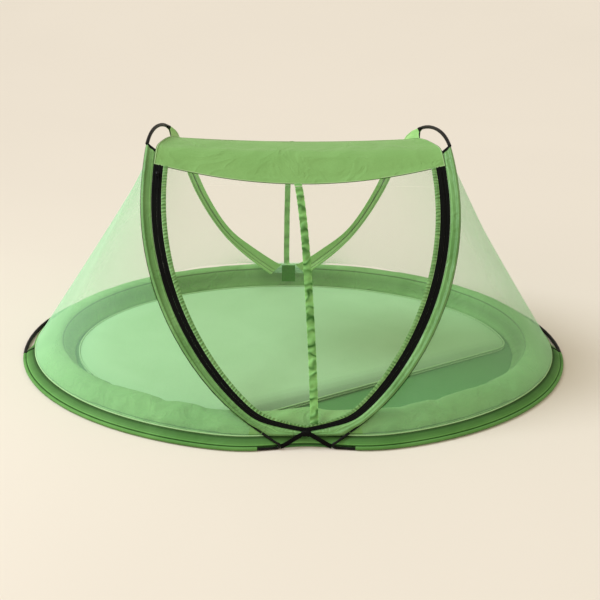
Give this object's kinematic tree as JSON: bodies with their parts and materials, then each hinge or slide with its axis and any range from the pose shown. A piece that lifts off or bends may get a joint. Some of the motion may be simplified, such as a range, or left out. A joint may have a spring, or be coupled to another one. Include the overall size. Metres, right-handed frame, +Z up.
{
  "type": "mosquito net tent",
  "caption": "Pop-up net tent on an oval base: spring-wire hoops in fabric sleeves, ruled net sides, fabric roof, curved zip door, padded rim and fitted mat.",
  "frame": {"origin": "middle of the base oval's width and depth, on the ground", "axes": "+X to the right along the base, +Y from the door to the back, +Z up"},
  "size_m": [2.0002, 1.4954, 0.805],
  "materials": {
    "black_wire": "black coated spring wire",
    "black_grip": "black tube, satin",
    "sleeve_green": "woven polyester, mid green",
    "net": "fine pale mesh, see-through",
    "canopy_green": "thin polyester, light green",
    "bumper_green": "padded polyester, light green",
    "floor_green": "woven polyester, dark green",
    "mat_green": "soft cotton, pale green",
    "piping_green": "pale green piping",
    "patch_green": "dark green patch",
    "black_zip": "black tape, nylon coil and enamelled slider"
  },
  "bodies": {
    "tent_frame": {"arch_grip_left": "black_grip", "arch_grip_right": "black_grip", "arch_wire_left": "black_wire", "arch_wire_right": "black_wire", "back_net": "net", "back_patch": "patch_green", "back_rim_tube": "sleeve_green", "back_sleeve_lower_left": "sleeve_green", "back_sleeve_lower_right": "sleeve_green", "back_sleeve_upper_left": "sleeve_green", "back_sleeve_upper_right": "sleeve_green", "back_strip": "sleeve_green", "bumper_wall": "bumper_green", "canopy": "canopy_green", "floor": "floor_green", "front_foot_left": "black_grip", "front_foot_right": "black_grip", "front_knot": "black_zip", "front_rim_tube_left": "sleeve_green", "front_rim_tube_right": "sleeve_green", "front_sleeve_lower_left": "sleeve_green", "front_sleeve_lower_right": "sleeve_green", "front_sleeve_upper_left": "sleeve_green", "front_sleeve_upper_right": "sleeve_green", "front_strap_left": "black_zip", "front_strap_right": "black_zip", "header_net": "net", "mat": "mat_green", "mat_piping_foot": "piping_green", "mat_piping_top": "piping_green", "rim_flange": "sleeve_green", "rim_piping": "piping_green", "side_net_left": "net", "side_net_right": "net", "zip_coil": "black_zip", "zip_tape_outer": "black_zip"},
    "door_panel": {"zip_tape_inner": "black_zip", "door_binding": "sleeve_green", "door_net": "net", "door_strip": "sleeve_green"},
    "base_half_left": {"base_wire_left": "black_wire", "base_grip_left": "black_grip", "base_tube_front_left": "sleeve_green", "base_tube_back_left": "sleeve_green"},
    "base_half_right": {"base_wire_right": "black_wire", "base_grip_right": "black_grip", "base_tube_front_right": "sleeve_green", "base_tube_back_right": "sleeve_green"},
    "slider": {"zip_slider": "black_zip"},
    "pull": {"zip_pull": "black_zip"}
  },
  "joints": [
    {"name": "base_fold_left", "type": "hinge", "parent": "tent_frame", "child": "base_half_left", "pos_m": [-0.3, 0, 0.0068], "axis": [0, 1, 0], "range_deg": [0, 50], "deforming": ["floor", "rim_flange", "rim_piping", "bumper_wall", "mat", "mat_piping_top", "mat_piping_foot", "side_net_left"]},
    {"name": "base_fold_right", "type": "hinge", "parent": "tent_frame", "child": "base_half_right", "pos_m": [0.3, 0, 0.0068], "axis": [0, -1, 0], "range_deg": [0, 50], "deforming": ["floor", "rim_flange", "rim_piping", "bumper_wall", "mat", "mat_piping_top", "mat_piping_foot", "side_net_right"]},
    {"name": "door_swing", "type": "hinge", "parent": "tent_frame", "child": "door_panel", "pos_m": [0, -0.09514, 0.68282], "axis": [-1, 0, 0], "range_deg": [0, 110], "deforming": ["zip_pull"]},
    {"name": "zip_travel", "type": "hinge", "parent": "tent_frame", "child": "slider", "pos_m": [0.37309, 0.18512, 0.30295], "axis": [0.4742, -0.5855, 0.6575], "range_deg": [0, 27.49]},
    {"name": "pull_swing", "type": "hinge", "parent": "slider", "child": "pull", "pos_m": [-0.4963, -0.06885, 0.71583], "axis": [-1, 0, 0], "range_deg": [0, 100]}
  ],
  "couplings": [
    {"joint": "base_fold_right", "follows": "base_fold_left", "ratio": 1}
  ]
}
